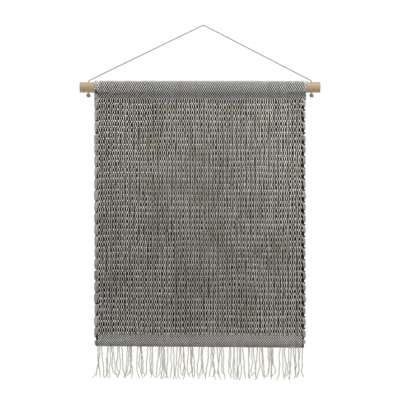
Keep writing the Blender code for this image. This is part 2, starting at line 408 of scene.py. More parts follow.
# Wefts: straight lines across the cloth, one at each pick along a path
def weftTree():
    tree, given, path = newTree(
        "weftsBeatenIn", ("Picks", "Int"), ("Points", "Int"), "First", "Step", "Left", "Right", "Pitch",
        "Ripple", "Wander", "Drift", "Slub",
    )
    starts, direction, pick = downPath(tree, given, path, given["Picks"], 0.0)
    line = geo(tree, "CurvePrimitiveLine", {
        "Start": joinXyz(tree, given["Left"], 0.0, 0.0), "End": joinXyz(tree, given["Right"], 0.0, 0.0),
    })
    line = geo(tree, "ResampleCurve", {"Curve": line, "Count": given["Points"]})
    line, along = keep(tree, line, Along=lengthAlong(tree))
    laid, here = keep(tree, yarnOnEach(tree, starts, line), Here=placeOf(tree))
    x, y, z = splitXyz(tree, here)
    own = joinXyz(tree, times(tree, x, 60.0), times(tree, pick, 2.3), given["Width"])
    flip = minus(tree, times(tree, calc(tree, "MODULO", pick, 2.0), 2.0), 1.0)
    beat = calc(tree, "COSINE", times(tree, over(tree, along, given["Pitch"]), math.pi))
    ripple = times(tree, beat, flip, given["Ripple"])
    climb = minus(tree, swing(tree, own, 0.8, given["Wander"], 2.0), rowDrift(tree, x, z, given["Drift"]))
    facing = calcVector(tree, "CROSS_PRODUCT", direction, (1.0, 0.0, 0.0))
    offset = calcVector(tree, "ADD", scaled(tree, facing, ripple), scaled(tree, direction, climb))
    laid = placed(tree, laid, direction, Offset=offset)
    slubs = plus(tree, 1.0, swing(tree, own, 1.9, given["Slub"], 2.0))
    return sweepYarn(tree, given, laid, along, randomOf(tree, pick, given["Seed"]), slubs)


# Selvedge: the weft's turns, one short bow outside the last warp for each pick
def turnTree():
    tree, given, path = newTree(
        "selvedgeTurns", ("Turns", "Int"), ("Points", "Int"), "First", "Step", "Edge", "Inside", "Tall",
        "Square", "Uneven", "RoundFrom", "RoundTall", "Rounding",
    )
    starts, direction, pick = downPath(tree, given, path, given["Turns"], given["Edge"])
    # The bow is drawn in the plane of X and of the path: its Y is turned to the path later
    half = times(tree, given["Tall"], 0.5)
    bow = geo(tree, "CurvePrimitiveLine", {
        "Start": joinXyz(tree, 0.0, half, 0.0), "End": joinXyz(tree, 0.0, times(tree, half, -1.0), 0.0),
    })
    bow = geo(tree, "ResampleCurve", {"Curve": bow, "Count": given["Points"]})
    level = over(tree, splitXyz(tree, placeOf(tree))[1], half)
    # The lower end leaves the edge earlier than the upper end does
    bend = times(tree, calc(tree, "MULTIPLY_ADD", level, 0.35, 0.65), given["Square"])
    inward = times(tree, calc(tree, "POWER", calc(tree, "ABSOLUTE", level), bend), given["Inside"])
    bow = geo(tree, "SetPosition", {"Geometry": bow, "Offset": joinXyz(tree, inward, 0.0, 0.0)})
    bow, along, local = keep(tree, bow, Along=lengthAlong(tree), Local=placeOf(tree))
    laid = yarnOnEach(tree, starts, bow)
    here = placeOf(tree)
    u, v, w = splitXyz(tree, local)
    draw = randomOf(tree, pick, given["Seed"])
    size = calc(tree, "MULTIPLY_ADD", draw, given["Uneven"], minus(tree, 1.0, given["Uneven"]))
    outward = times(tree, minus(tree, 1.0, size), times(tree, given["Inside"], 0.35))
    # Corners are rounded where the path rises past a height
    rise = over(tree, minus(tree, splitXyz(tree, here)[2], given["RoundFrom"]), given["RoundTall"])
    rise = calc(tree, "MINIMUM", calc(tree, "MAXIMUM", rise, 0.0), 1.0)
    corner = times(tree, rise, rise, given["Rounding"])
    facing = calcVector(tree, "CROSS_PRODUCT", direction, (1.0, 0.0, 0.0))
    place = calcVector(tree, "SUBTRACT", here, local)
    for move in (
        joinXyz(tree, plus(tree, u, outward, corner), 0.0, 0.0),
        scaled(tree, direction, times(tree, v, -1.0)),
        scaled(tree, facing, times(tree, v, times(tree, given["Uneven"], 0.5))),
    ):
        place = calcVector(tree, "ADD", place, move)
    laid = placed(tree, laid, direction, Position=place)
    tone = randomOf(tree, plus(tree, pick, 500.0), given["Seed"])
    slubs = plus(tree, 1.0, swing(tree, place, 260.0, 0.10, 2.0))
    return sweepYarn(tree, given, laid, along, tone, slubs)


# Plied yarn swept along given lines: the cord and its knots
def cordTree():
    tree, given, path = newTree("pliedYarn", "Spacing", "Lead", "Lobe")
    path = geo(tree, "ResampleCurve", {"Curve": path, "Length": given["Spacing"]}, mode="LENGTH")
    path, along = keep(tree, path, Along=lengthAlong(tree))
    twist = times(tree, over(tree, along, given["Lead"]), 2 * math.pi)
    path = geo(tree, "SetCurveTilt", {"Curve": path, "Tilt": twist})
    slubs = plus(tree, 1.0, swing(tree, placeOf(tree), 190.0, 0.06, 2.0))
    return sweepYarn(tree, given, path, along, 0.5, slubs, 3)


# Fringe: warp ends that hang free, wander, and turn aside at their cut ends
def fringeTree():
    tree, given, path = newTree(
        "fringeHanging", ("Yarns", "Int"), ("Points", "Int"), "Left", "Pitch", "Length", "Bunch", "Sway",
        "Kink", "Uneven", "Lead", "Lobe", "Back",
    )
    path = geo(tree, "ResampleCurve", {"Curve": path, "Count": given["Points"]})
    path, share = keep(tree, path, Share=addNode(tree, "GeometryNodeSplineParameter").outputs["Factor"])
    heads, number = keep(tree, acrossCloth(tree, given, given["Yarns"]), Number=geo(tree, "InputIndex"))
    laid = yarnOnEach(tree, heads, path)

    def draw(shift):
        return randomOf(tree, plus(tree, number, float(shift)), given["Seed"])

    def waver(spread, reach, plane, scale=1.0):
        # Noise down the yarn, different for each one
        place = joinXyz(tree, times(tree, number, spread), times(tree, share, reach), plane)
        return noise(tree, place, scale)

    # Neighbours start in bunches of three, then part
    inBunch = minus(tree, calc(tree, "MODULO", number, 3.0), 1.0)
    bunched = times(tree, inBunch, given["Pitch"], given["Bunch"], minus(tree, share, 1.0))
    grow = calc(tree, "POWER", plus(tree, share, 0.0001), 0.8)
    sway = times(tree, about(tree, waver(4.37, 2.6, 0.7), 3.4, given["Sway"]), grow)
    crimp = about(tree, waver(5.29, 8.0, 2.9), 0.5, given["Sway"])
    crimp = times(tree, crimp, calc(tree, "MINIMUM", times(tree, share, 5.0), 1.0))
    tip = calc(tree, "MAXIMUM", minus(tree, share, 0.80), 0.0)
    tip = times(tree, tip, tip, 25.0)
    kink = times(tree, tip, times(tree, about(tree, draw(100), 2.0), given["Kink"]))
    start = about(tree, draw(300), times(tree, given["Pitch"], 0.7))
    across = plus(tree, plus(tree, sway, crimp, kink), plus(tree, bunched, start))
    fore = times(tree, about(tree, waver(6.13, 2.2, 5.1), 2.2, given["Sway"]), grow)
    fore = plus(tree, fore, times(tree, about(tree, draw(400), 2.0), given["Back"]))
    shorter = times(tree, calc(tree, "POWER", draw(200), 2.0), given["Uneven"])
    rise = times(tree, share, shorter, given["Length"])
    laid = geo(tree, "SetPosition", {"Geometry": laid, "Offset": joinXyz(tree, across, fore, rise)})
    along = times(tree, share, given["Length"])
    twist = times(tree, over(tree, along, given["Lead"]), 2 * math.pi)
    twist = plus(tree, times(tree, draw(600), 6.0), twist)
    laid = geo(tree, "SetCurveTilt", {"Curve": laid, "Tilt": twist})
    taper = minus(tree, 1.0, times(tree, tip, 0.25))
    slubs = plus(tree, taper, about(tree, waver(5.29, 8.0, 2.9, 1.7), 0.5))
    return sweepYarn(tree, given, laid, along, draw(500), slubs, 2)


# Sewing stitches: short bows on a straight line
def stitchTree():
    tree, given, path = newTree("seamStitches", "Step", "Long", "Lift")
    starts = geo(tree, "ResampleCurve", {"Curve": path, "Length": given["Step"]}, mode="LENGTH")
    starts = geo(tree, "CurveToPoints", {"Curve": starts}, mode="EVALUATED")
    half = times(tree, given["Long"], 0.5)
    down = times(tree, half, -1.0)
    high = given["Lift"]
    sunk = times(tree, high, -0.6)
    bow = geo(tree, "CurvePrimitiveBezierSegment", {
        "Resolution": 5,
        "Start": joinXyz(tree, down, sunk, -0.0002),
        "Start Handle": joinXyz(tree, times(tree, down, 0.8), high, -0.0001),
        "End Handle": joinXyz(tree, times(tree, half, 0.8), high, 0.0001),
        "End": joinXyz(tree, half, sunk, 0.0002),
    })
    bow, along = keep(tree, bow, Along=lengthAlong(tree))
    laid = yarnOnEach(tree, starts, bow)
    return sweepYarn(tree, given, laid, along, noise(tree, placeOf(tree), 400.0), 1.0)


trees = {
    "warps": warpTree(), "wefts": weftTree(), "turns": turnTree(),
    "cord": cordTree(), "fringe": fringeTree(), "stitches": stitchTree(),
}
print("weaving trees made")


hang = {"skew": 0.0080, "skewAbout": -0.06}


def hangAskew(mesh):
    # The cloth is a little longer on its right side, so its rows slope more and more down to the hem
    places = np.empty(len(mesh.vertices) * 3)
    mesh.vertices.foreach_get("co", places)
    places = places.reshape(-1, 3)
    share = np.clip((bodyTop - places[:, 2]) / (bodyTop - hemBottom), 0.0, 1.0)
    places[:, 2] -= share * share * hang["skew"] * (places[:, 0] - hang["skewAbout"])
    mesh.vertices.foreach_set("co", places.ravel())


def layYarns(name, kind, points, finish, **values):
    # Runs one tree on a path and gives back a plain mesh object at the origin
    path = bpy.data.meshes.new(name + "Path")
    path.from_pydata(points, [(i, i + 1) for i in range(len(points) - 1)], [])
    carrier = addObject(name + "Path", path)
    modifier = carrier.modifiers.new(name, "NODES")
    modifier.node_group = trees[kind]
    values["Finish"] = finish
    for socket in trees[kind].interface.items_tree:
        if socket.in_out == "INPUT" and socket.name in values:
            modifier[socket.identifier] = values.pop(socket.name)
    if values:
        raise ValueError(f"{name}: {kind} has no input named {sorted(values)}")
    evaluated = carrier.evaluated_get(bpy.context.evaluated_depsgraph_get())
    mesh = bpy.data.meshes.new_from_object(evaluated)
    mesh.name = name
    hangAskew(mesh)
    bpy.data.objects.remove(carrier)
    bpy.data.meshes.remove(path)
    print(name, "has", sum(len(face.vertices) - 2 for face in mesh.polygons), "triangles")
    return addObject(name, mesh)


def joined(name, pieces):
    # Several yarn meshes in one piece
    whole = bmesh.new()
    mesh = bpy.data.meshes.new(name)
    for piece in pieces:
        for material in piece.data.materials:
            if material.name not in mesh.materials:
                mesh.materials.append(material)
        index = mesh.materials.find(piece.data.materials[0].name)
        for face in piece.data.polygons:
            face.material_index = index
        whole.from_mesh(piece.data)
        old = piece.data
        bpy.data.objects.remove(piece)
        bpy.data.meshes.remove(old)
    whole.to_mesh(mesh)
    whole.free()
    return addObject(name, mesh)


# Shader groups that several finishes share
def newGroup(name, wanted, given):
    group = bpy.data.node_groups.new(name, "ShaderNodeTree")
    for label, value in wanted:
        kind = "Color" if isinstance(value, tuple) else "Float"
        socket = group.interface.new_socket(label, in_out="INPUT", socket_type="NodeSocket" + kind)
        socket.default_value = value
    for label, kind in given:
        group.interface.new_socket(label, in_out="OUTPUT", socket_type="NodeSocket" + kind)
    return group, addNode(group, "NodeGroupInput").outputs, addNode(group, "NodeGroupOutput").inputs


def blendColor(tree, share, first, second):
    return addNode(tree, "ShaderNodeMix", {0: share, 6: first, 7: second}, data_type="RGBA").outputs[2]


def ramp(tree, value, low, high, start, end, kind="LINEAR"):
    limits = {0: value, 1: low, 2: high, 3: start, 4: end}
    return addNode(tree, "ShaderNodeMapRange", limits, interpolation_type=kind).outputs[0]


def objectPlace(tree):
    return addNode(tree, "ShaderNodeTexCoord").outputs["Object"]


def makeTwistGroup():
    # The plies of a yarn and its fibres, from where it lies along and round the yarn
    group, given, out = newGroup(
        "yarnTwist", (("Plies", 2.0), ("Lead", 0.006), ("Fibre", 1.0)),
        (("Height", "Float"), ("Groove", "Float")),
    )
    lay = addNode(group, "ShaderNodeAttribute", attribute_name="lay").outputs["Vector"]
    c, s, along = splitXyz(group, lay)
    turns = times(group, over(group, along, given["Lead"]), 2 * math.pi)
    phase = calc(group, "MULTIPLY_ADD", calc(group, "ARCTAN2", s, c), given["Plies"], turns)
    ridge = calc(group, "MULTIPLY_ADD", calc(group, "COSINE", phase), 0.5, 0.5)
    ridge = calc(group, "POWER", ridge, 0.6)
    spun = scaled(group, joinXyz(group, c, s, times(group, along, 120.0)), 1.5)
    fibres = noise(group, calcVector(group, "ADD", spun, scaled(group, objectPlace(group), 900.0)), 1.6, 3.0)
    group.links.new(plus(group, ridge, about(group, fibres, given["Fibre"])), out["Height"])
    group.links.new(minus(group, 1.0, ridge), out["Groove"])
    return group


def makeDyeAndShadeGroup():
    # Uneven dye and wear: each yarn has its tone, and patches run over the cloth. On the warps the tone also holds
    # painted shade and painted highlight
    group, given, out = newGroup(
        "patchyDyeAndShade",
        (
            ("Base", (0.5, 0.5, 0.5, 1.0)), ("Dark", (0.3, 0.3, 0.3, 1.0)), ("Tint", (0.5, 0.4, 0.35, 1.0)),
            ("Patch", 12.0), ("TintShare", 0.3), ("Spread", 0.4),
        ),
        (("Color", "Color"), ("Wear", "Float")),
    )
    place = objectPlace(group)
    tone = addNode(group, "ShaderNodeAttribute", attribute_name="tone").outputs["Fac"]
    patch = noise(group, place, given["Patch"], 3.0)
    speck = noise(group, place, times(group, given["Patch"], 14.0), 2.0)
    mixed = plus(group, times(group, tone, 0.45), times(group, speck, 0.55))
    dark = times(group, minus(group, mixed, 0.15), given["Spread"], 1.6)
    dark = addNode(group, "ShaderNodeClamp", {0: dark}).outputs[0]
    shade = blendColor(group, dark, given["Base"], given["Dark"])
    reach = times(group, ramp(group, patch, 0.46, 0.62, 0.0, 1.0, "SMOOTHSTEP"), given["TintShare"])
    group.links.new(blendColor(group, reach, shade, given["Tint"]), out["Color"])
    group.links.new(times(group, speck, tone), out["Wear"])
    return group


def makeFadeGroup():
    # A slow change of lightness: darker towards the bottom, and painted light that makes the cloth lighter towards
    # its right side
    group, given, out = newGroup(
        "slowFade",
        (
            ("Color", (0.5, 0.5, 0.5, 1.0)), ("Down", 0.25), ("Across", 0.08), ("Foot", 0.0), ("FootAt", 0.0),
            ("FootReach", 0.01), ("FootColor", (0.2, 0.15, 0.1, 1.0)),
        ),
        (("Color", "Color"),),
    )
    place = objectPlace(group)
    x, y, z = splitXyz(group, place)
    top = ramp(group, z, -0.62, -0.20, 1.0, 0.0, "SMOOTHSTEP")
    foot = ramp(group, z, -0.73, -0.65, 0.7, 1.0, "SMOOTHSTEP")
    # Painted light: the right side is made lighter by the Across amount
    right = ramp(group, x, 0.02, 0.16, 0.0, 1.0, "SMOOTHSTEP")
    fall = times(group, top, foot, given["Down"])
    value = plus(group, minus(group, 1.0, fall), times(group, right, given["Across"]))
    faded = addNode(group, "ShaderNodeHueSaturation", {"Value": value, "Color": given["Color"]}).outputs[0]
    # A darker line across the cloth: a brownish line at the foot of the hem, and painted shadow in the crease below
    # the pocket roll
    away = over(group, calc(group, "ABSOLUTE", minus(group, z, given["FootAt"])), given["FootReach"])
    near = calc(group, "MAXIMUM", minus(group, 1.0, away), 0.0)
    hemLineAndCreaseShadow = times(group, near, noise(group, place, 30.0, 2.0), given["Foot"])
    group.links.new(blendColor(group, hemLineAndCreaseShadow, faded, given["FootColor"]), out["Color"])
    return group


groups = {"twist": makeTwistGroup(), "dyeAndShade": makeDyeAndShadeGroup(), "fade": makeFadeGroup()}


def useGroup(tree, kind, **inputs):
    return addNode(tree, "ShaderNodeGroup", inputs, node_tree=groups[kind]).outputs


def linear(red, green, blue):
    # A colour as the eye reads it on a screen, 0 to 255, for a shader
    return tuple(
        part / 12.92 if part <= 0.04045 else ((part + 0.055) / 1.055) ** 2.4
        for part in (red / 255, green / 255, blue / 255)
    ) + (1.0,)


def newFinish(name):
    material = bpy.data.materials.new(name)
    material.use_nodes = True
    tree = material.node_tree
    return material, tree, tree.nodes["Principled BSDF"].inputs


def dress(tree, shader, color, rough, height, strength, distance):
    # Joins a finish's colour, roughness and relief to its shader
    relief = {"Strength": strength, "Distance": distance, "Height": height}
    tree.links.new(color, shader["Base Color"])
    tree.links.new(rough, shader["Roughness"])
    tree.links.new(addNode(tree, "ShaderNodeBump", relief).outputs[0], shader["Normal"])


def yarnFinish(name, look):
    material, tree, shader = newFinish(name)
    twist = useGroup(tree, "twist", Plies=look["plies"], Lead=look["lead"], Fibre=look["fibre"])
    dyeAndShade = useGroup(
        tree, "dyeAndShade", Base=look["base"], Dark=look["dark"], Tint=look["tint"],
        Patch=look["patch"], TintShare=look["tintShare"], Spread=look["spread"],
    )
    fade = useGroup(
        tree, "fade", Color=dyeAndShade["Color"], Down=look["down"], Across=look["across"],
        Foot=look["foot"], FootAt=look["footAt"], FootReach=look["footReach"], FootColor=look["footColor"],
    )
    # Painted shade: the grooves between the plies are darkened
    groove = times(tree, twist["Groove"], look["grooveShade"])
    color = blendColor(tree, groove, fade["Color"], look["dark"])
    rough = ramp(tree, dyeAndShade["Wear"], 0.0, 0.7, 0.98, 0.78)
    dress(tree, shader, color, rough, twist["Height"], 0.75, look["relief"])
    shader["Sheen Weight"].default_value = look["sheen"]
    shader["Sheen Roughness"].default_value = 0.5
    shader["Specular IOR Level"].default_value = 0.2
    return material


warpLook = {
    "base": linear(242, 239, 232), "dark": linear(160, 155, 146), "tint": linear(196, 186, 162),
    # across: painted light, lighter towards the right side
    "patch": 14.0, "tintShare": 0.40, "spread": 0.55, "down": 0.22, "across": 0.10,
    "plies": 2.0, "lead": 0.0052, "fibre": 0.5, "grooveShade": 0.25, "relief": 0.0003, "sheen": 0.06,
    "foot": 0.0, "footAt": hemBottom, "footReach": 0.013, "footColor": linear(112, 99, 72),
}
weftLook = {
    **warpLook, "base": linear(24, 22, 19), "dark": linear(8, 7, 6), "tint": linear(56, 50, 30),
    "patch": 10.0, "tintShare": 0.6, "spread": 0.9, "down": 0.10, "across": 0.0,
    "plies": 3.0, "lead": 0.011, "fibre": 0.8, "grooveShade": 0.5, "relief": 0.0006, "sheen": 0.0,
}
bandWarpLook = {
    **warpLook, "base": linear(252, 251, 248), "dark": linear(190, 188, 184), "tintShare": 0.15, "down": 0.0,
}
finishes = {name: yarnFinish(name, look) for name, look in {
    "warpCotton": warpLook,
    "charcoalWeft": weftLook,
    "greyWeft": {
        **weftLook, "base": linear(64, 61, 54), "dark": linear(30, 28, 25), "tint": linear(60, 54, 38),
    },
    "hemWarp": {**bandWarpLook, "foot": 1.0},
    "pocketWarp": {
        # painted shadow: the foot line here darkens the crease below the pocket roll
        **bandWarpLook, "foot": 0.8, "footAt": bodyTop + 0.0140, "footReach": 0.0070,
        "footColor": linear(96, 94, 84),
    },
    "bandWeft": {
        **weftLook, "base": linear(22, 22, 21), "dark": linear(8, 8, 8), "tintShare": 0.2, "down": 0.0,
    },
    "selvedgeYarn": {
        **warpLook, "base": linear(208, 207, 202), "dark": linear(132, 129, 126),
        "tint": linear(146, 135, 133), "spread": 0.9, "lead": 0.009, "relief": 0.0005,
    },
    "sewingThread": {
        **weftLook, "base": linear(66, 64, 62), "dark": linear(36, 35, 34), "plies": 2.0, "lead": 0.0014,
        "relief": 0.0001, "sheen": 0.3,
    },
    "fringeCream": {
        **warpLook, "base": linear(226, 224, 212), "dark": linear(166, 163, 148),
        "tint": linear(204, 192, 166), "tintShare": 0.3, "spread": 0.7, "down": 0.0, "across": 0.0, "plies": 4.0, "lead": 0.0035,
        "relief": 0.0002, "grooveShade": 0.35, "sheen": 0.25,
    },
    "cordCotton": {
        **warpLook, "base": linear(172, 168, 158), "dark": linear(112, 107, 98),
        "tint": linear(144, 139, 128), "tintShare": 0.3, "down": 0.0, "across": 0.0, "plies": 9.0, "lead": 0.003, "relief": 0.00015,
    },
}.items()}


wood = {
    "pale": linear(188, 170, 138), "warm": linear(160, 130, 96), "streak": linear(110, 82, 53),
    "rings": 260.0, "pithAside": 0.006, "pithBelow": 0.016,
}


def woodFinish():
    # Growth rings round an axis outside the rod, so that the side shows long streaks and the end shows arcs
    material, tree, shader = newFinish("paleWood")
    shift = (0.0, wood["pithAside"], -dowelAxisZ + wood["pithBelow"])
    x, y, z = splitXyz(tree, calcVector(tree, "ADD", objectPlace(tree), shift))

    def stretched(lengthwise, crosswise):
        return joinXyz(tree, times(tree, x, lengthwise), times(tree, y, crosswise), times(tree, z, crosswise))

    longNoise = stretched(5.0, 60.0)
    bend = about(tree, noise(tree, longNoise, 1.0, 3.0), 0.010)
    away = calc(tree, "SQRT", plus(tree, times(tree, y, y), times(tree, z, z)))
    ringPhase = times(tree, plus(tree, away, bend), wood["rings"] * math.pi)
    late = calc(tree, "POWER", calc(tree, "MULTIPLY_ADD", calc(tree, "SINE", ringPhase), 0.5, 0.5), 2.5)
    pore = noise(tree, stretched(26.0, 1500.0), 1.0, 3.0)
    fleck = ramp(tree, pore, 0.52, 0.70, 0.0, 1.0)
    warmth = ramp(tree, noise(tree, longNoise, 0.6, 2.0), 0.35, 0.70, 0.0, 0.8)
    body = blendColor(tree, warmth, wood["pale"], wood["warm"])
    body = blendColor(tree, times(tree, late, 0.45), body, wood["warm"])
    body = blendColor(tree, times(tree, fleck, 0.40), body, wood["streak"])
    height = minus(tree, times(tree, late, 0.3), fleck)
    dress(tree, shader, body, ramp(tree, pore, 0.3, 0.7, 0.50, 0.72), height, 0.5, 0.0002)
    return material


print("finishes made")


# The cord, along the same route as its solid
cord = {
    "diameter": 0.0026,
    "sides": 18,
    "spacing": 0.00062,
    "lead": 0.0085,
    "lobe": 0.09,
    "step": 0.004,
    "route": (
        (-0.2710, -0.1573), (-0.2710, -0.1500), (-0.2710, -0.1420), (-0.2710, -0.1360),
        (-0.2710, -0.1328), (-0.2707, -0.1310), (-0.2697, -0.1293), (-0.2680, -0.1279),
        (-0.2650, -0.1265), (-0.2150, -0.1022), (-0.1620, -0.0765), (-0.1091, -0.0508),
        (-0.0561, -0.0251), (-0.0060, -0.0008), (-0.0032, 0.0006), (0.0000, 0.0013),
        (0.0034, 0.0005), (0.0062, -0.0010), (0.0531, -0.0252), (0.1028, -0.0509),
        (0.1526, -0.0766), (0.2023, -0.1023), (0.2493, -0.1266), (0.2521, -0.1280),
        (0.2537, -0.1293), (0.2547, -0.1310), (0.2550, -0.1328), (0.2550, -0.1360),
        (0.2550, -0.1420), (0.2550, -0.1500), (0.2550, -0.1573),
    ),
}


def mount(piece, body, slotName, *nodes):
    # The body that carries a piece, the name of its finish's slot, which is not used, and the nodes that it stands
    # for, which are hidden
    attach(piece, body)
    if nodes:
        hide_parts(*nodes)


def lengthOf(points):
    return sum((b - a).length for a, b in zip(points, points[1:]))


def smoothRoute(points, step):
    # Points on a smooth curve through the route, a step apart or less
    ends = [2 * points[0] - points[1], *points, 2 * points[-1] - points[-2]]
    found = [points[0]]
    for a, b, c, d in zip(ends, ends[1:], ends[2:], ends[3:]):
        before, here, after = [max((q - p).length, 1e-9) for p, q in ((a, b), (b, c), (c, d))]
        slopeB = here * ((b - a) / before - (c - a) / (before + here) + (c - b) / here)
        slopeC = here * ((c - b) / here - (d - b) / (here + after) + (d - c) / after)
        count = max(1, math.ceil(here / step))
        for i in range(1, count + 1):
            t = i / count
            found.append(
                (2 * t**3 - 3 * t**2 + 1) * b + (t**3 - 2 * t**2 + t) * slopeB
                + (3 * t**2 - 2 * t**3) * c + (t**3 - t**2) * slopeC
            )
    return found


cordLine = smoothRoute([Vector((x, 0.0, z)) for x, z in cord["route"]], cord["step"])
hangingCord = layYarns(
    "hangingCord", "cord", cordLine, finishes["cordCotton"],
    Spacing=cord["spacing"], Lead=cord["lead"], Lobe=cord["lobe"],
    Sides=cord["sides"], Width=cord["diameter"], Depth=cord["diameter"],
)
mount(hangingCord, "rail", "cotton_cord", "hanging_cord")

knot = {
    "yarn": 0.0029,
    "sides": 12,
    "reach": 0.0014,
    "drawn": 0.93,  # how far the three lobes are pulled in
    "closed": 0.985,  # how much of the loop is made before the yarn's end
    "thick": 0.0032,
    "lower": 0.0016,
    "points": 60,
    "tailShare": 0.96,
}


def makeKnot(side, node):
    # An overhand knot drawn tight: a three-lobed tube with the cord's short end below
    low, high = boxOf(node)
    centre = (low + high) / 2
    line = []
    for i in range(knot["points"] + 1):
        t = 2 * math.pi * i / knot["points"] * knot["closed"]
        ringX = (math.sin(t) + 2 * math.sin(2 * t)) * knot["reach"] * knot["drawn"]
        ringY = (math.cos(t) - 2 * math.cos(2 * t)) * knot["reach"] * knot["drawn"]
        rise = -math.sin(3 * t) * knot["thick"] - knot["lower"]
        line.append(centre + Vector((ringX, ringY, rise)))
    top = Vector((centre.x, centre.y, high.z - 0.0002))
    bottom = Vector((centre.x + 0.0006, centre.y - 0.0008, low.z - 0.0004))
    piece = joined("knot" + side, [
        layYarns(
            name, "cord", points, finishes["cordCotton"], Spacing=spacing, Lead=cord["lead"],
            Lobe=cord["lobe"], Sides=knot["sides"], Width=thick, Depth=thick,
        )
        for name, points, spacing, thick in (
            ("knotWound", line, 0.0006, knot["yarn"]),
            ("knotTail", smoothRoute([top, centre, bottom], 0.001), 0.0005, knot["yarn"] * knot["tailShare"]),
        )
    ])
    mount(piece, "rail", "cotton_cord", node)
    return piece


knotLeft = makeKnot("Left", "knot_left")
knotRight = makeKnot("Right", "knot_right")


# The dowel keeps its CAD shape, merged and shaded smooth
def makeDowel():
    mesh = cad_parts["dowel"].data.copy()
    shell = bmesh.new()
    shell.from_mesh(mesh)
    bmesh.ops.remove_doubles(shell, verts=shell.verts, dist=0.00001)
    shell.to_mesh(mesh)
    shell.free()
    mesh.name = "dowelRod"
    mesh.materials.clear()
    mesh.materials.append(woodFinish())
    mesh.shade_smooth()
    mesh.set_sharp_from_angle(angle=math.radians(35))
    mount(addObject("dowelRod", mesh), "rail", "pale_wood", "dowel")


makeDowel()
print("dowel made")


# Sizes of the weave. The same warps run through the pocket, the body, the hem and the fringe
weave = {
    "warps": 176,
    "warpWidth": 0.0015,
    "warpDepth": 0.0020,
    "rows": 41,
    "thickAt": 0.28,
    "thinAt": 0.78,
    "thickTall": 0.0112,
    "thickDeep": 0.0030,
    "thinTall": 0.0048,
    "thinDeep": 0.0026,
    "crossing": 0.0028,
    "plateau": 2.6,
    "bias": 0.46,
    "gather": 0.42,
    "wander": 0.0019,
    "roam": 0.0018,
    "jitter": 0.0004,
    "knob": 1.30,
    "drift": 0.0040,
    "slub": 0.20,
    "bendReach": 0.045,  # half the height about a fold
    "pointsPerRow": 8,
    "warpSides": 5,
    "weftPoints": 90,
    "margin": 0.0105,
}
clothWidth = clothRight - clothLeft
row = (bodyTop - hemTop) / weave["rows"]
warpPitch = (clothWidth - 2 * weave["margin"]) / (weave["warps"] - 1)
warpLeft = clothLeft + weave["margin"]
allWarps = {"Warps": weave["warps"], "Left": warpLeft, "Pitch": warpPitch, "Seed": 7}

# The turns at each selvedge: strands nested in each other, one group for two rows
selvedge = {
    "left": {
        "strands": ((0.0, 0.0266), (0.0024, 0.0262), (0.0050, 0.0250)),  # how far in, and how tall
        "square": 14.0, "inside": 0.0095, "wide": 0.0036,
    },
    "right": {
        "strands": ((-0.0006, 0.0258), (0.0014, 0.0254), (0.0034, 0.0246)),
        "square": 5.0, "inside": 0.0085, "wide": 0.0026,
    },
    "edge": 0.0021,
    "strandDeep": 0.0034,
    "uneven": 0.30,
    "turnAt": -0.22,
    "points": 15,
    "sides": 7,
}


def laySelvedges(name, path, first, step, turns, seed, share=1.0, shiftRight=0.0):
    # share makes the groups shorter, where the picks are closer
    parts = []
    for sign, edge, side, shift in (
        (1.0, clothLeft + selvedge["edge"], selvedge["left"], 0.0),
        (-1.0, clothRight - selvedge["edge"], selvedge["right"], shiftRight),
    ):
        for k, (inset, tall) in enumerate(side["strands"]):
            parts.append(layYarns(
                "turns", "turns", path, finishes["selvedgeYarn"], Turns=turns, First=first + shift,
                Step=step, Edge=edge + sign * inset, Inside=sign * (side["inside"] - inset),
                Tall=tall * share, Square=side["square"], Points=selvedge["points"],
                Uneven=selvedge["uneven"], Sides=selvedge["sides"],
                Width=side["wide"] * (0.35 + 0.65 * share), Depth=selvedge["strandDeep"], Seed=seed + k,
            ))
    return joined(name, parts)


def layBodyPart(label, firstRow, rows, bodies, fold=None, nodes=(), lastTurn=0):
    # One length of the body: warps, thick and thin wefts, and the turns at both selvedges
    top = bodyTop - firstRow * row
    path = [(0.0, 0.0, top), (0.0, 0.0, top - rows * row)]
    warps = layYarns(
        "bodyWarps" + label, "warps", path, finishes["warpCotton"], **allWarps,
        Points=rows * weave["pointsPerRow"] + 1, Row=row,
        RowStart=-weave["thickAt"] * row, Plateau=weave["plateau"], Bias=weave["bias"],
        Crossing=weave["crossing"], Gather=weave["gather"], Wander=weave["wander"],
        Drift=weave["drift"], Roam=weave["roam"], Jitter=weave["jitter"], Knob=weave["knob"],
        Slub=weave["slub"], Sides=weave["warpSides"], Width=weave["warpWidth"], Depth=weave["warpDepth"],
    )
    wefts = joined("bodyWefts" + label, [
        layYarns(
            kind + "Wefts", "wefts", path, finishes[finish], Picks=rows, Step=row, Left=left, Right=right,
            Pitch=warpPitch, Wander=0.0004, Slub=0.09, Sides=10, Drift=weave["drift"],
            Points=weave["weftPoints"], Seed=seed + firstRow, First=weave[kind + "At"] * row,
            Width=weave[kind + "Tall"], Depth=weave[kind + "Deep"],
        )
        for kind, finish, left, right, seed in (
            ("thick", "charcoalWeft", warpLeft - 0.0035, clothRight - 0.0046, 11),
            ("thin", "greyWeft", clothLeft + 0.0030, clothRight - 0.0018, 23),
        )
    ])
    odd = firstRow % 2
    selvedges = laySelvedges(
        "selvedges" + label, path, row * (1.0 - odd + selvedge["turnAt"]), row * 2,
        (rows + odd) // 2 + lastTurn, 31 + firstRow,
    )
    for piece, slotName in ((warps, "body_weave"), (wefts, "body_weave"), (selvedges, "selvedge_yarn")):
        if fold is None:
            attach(piece, bodies[0])
        else:
            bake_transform(piece)
    if nodes:
        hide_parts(nodes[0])
        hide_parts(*nodes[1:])


layBodyPart(
    "Upper", 0, 7, ["cloth_upper"], nodes=("panel_upper", "selvedge_left_upper", "selvedge_right_upper"))
layBodyPart(
    "UpperFold", 7, 13, ["cloth_upper", "cloth_middle"], foldUpper,
    ("panel_middle", "selvedge_left_middle", "selvedge_right_middle"))
